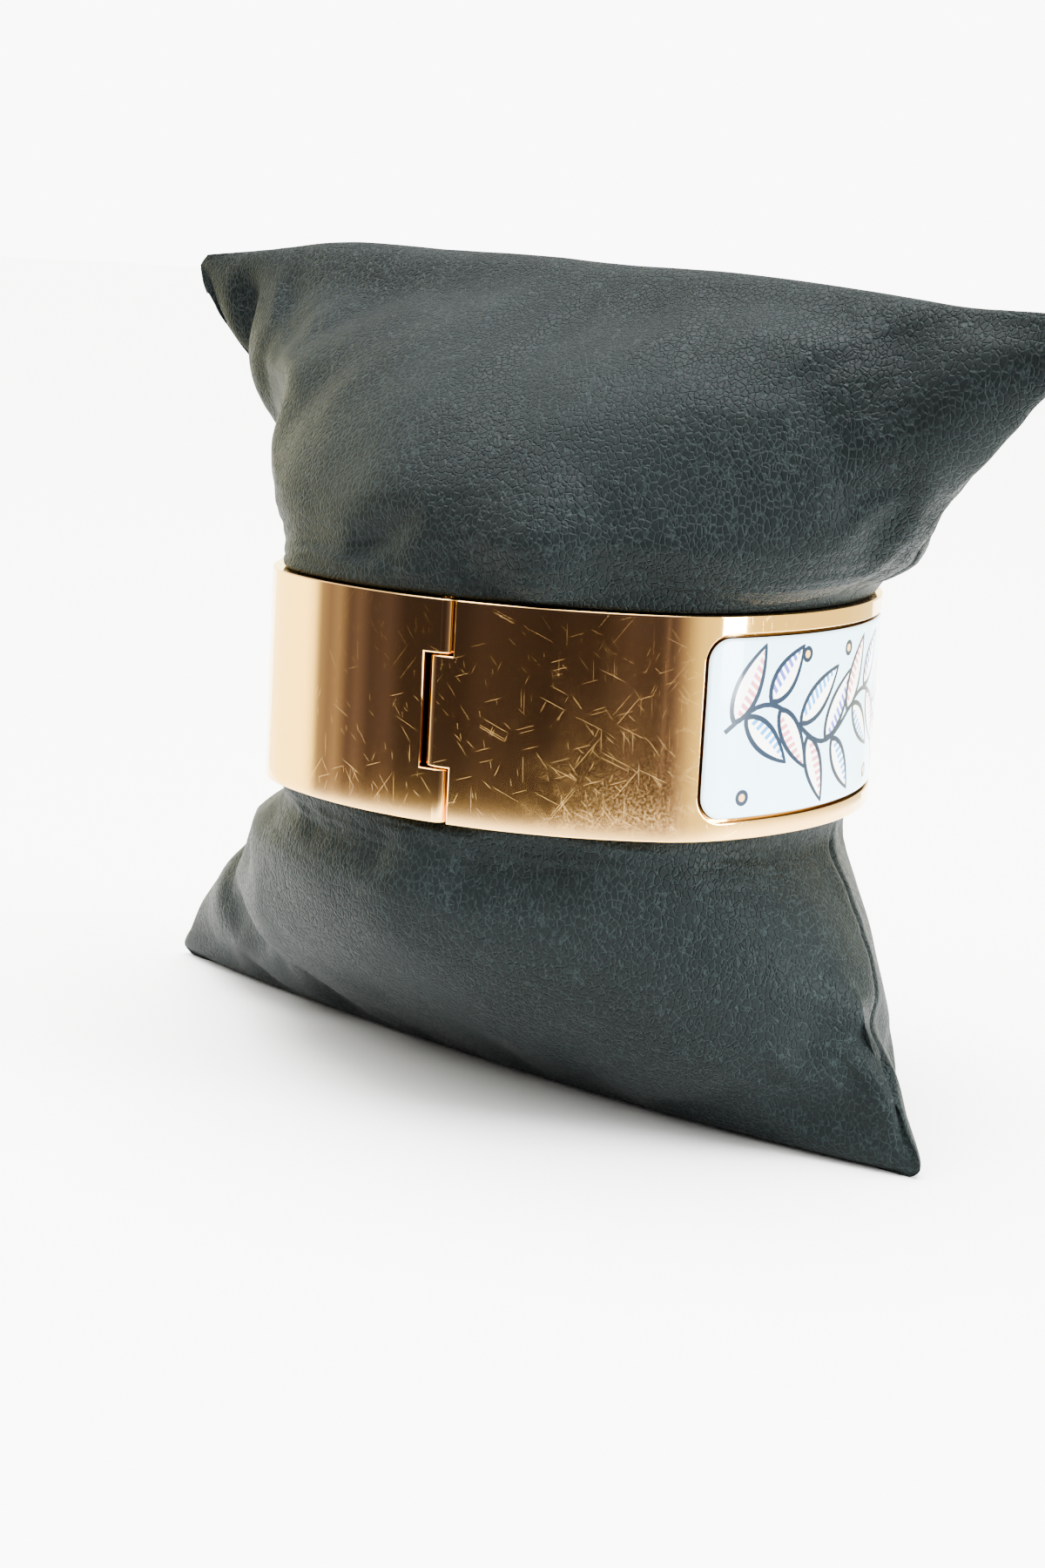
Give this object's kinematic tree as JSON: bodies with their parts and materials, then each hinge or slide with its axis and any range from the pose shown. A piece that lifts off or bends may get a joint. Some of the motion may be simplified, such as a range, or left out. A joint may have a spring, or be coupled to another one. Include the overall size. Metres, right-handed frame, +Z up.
{
  "type": "hinged bangle on a display cushion",
  "caption": "Rigid oval bangle in two hinged halves, with a glazed plaque let into the front, closed around a pinched leatherette display cushion that stands upright.",
  "frame": {"origin": "on the table under the cushion, on the band's axis", "axes": "+Z up along the band's axis, -Y to the front where the plaque is, -X to the hinge and +X to the clasp"},
  "size_m": [0.0563, 0.1064, 0.0797],
  "materials": {
    "gold": "polished yellow-rose gold plating over brass, with fine hairline scratches",
    "glaze": null,
    "leatherette": "black leatherette with a fine pebbled grain, satin"
  },
  "bodies": {
    "back_half": {"back_band": "gold", "hinge_pin": "gold", "display_cushion": "leatherette"},
    "front_half": {"front_band": "gold", "plaque": "glaze", "clasp_tongue": "gold"}
  },
  "joints": [
    {"name": "band_hinge", "type": "hinge", "parent": "back_half", "child": "front_half", "pos_m": [-0.02675, 0, 0.0394], "axis": [0, 0, -1], "range_deg": [0, 80]}
  ]
}
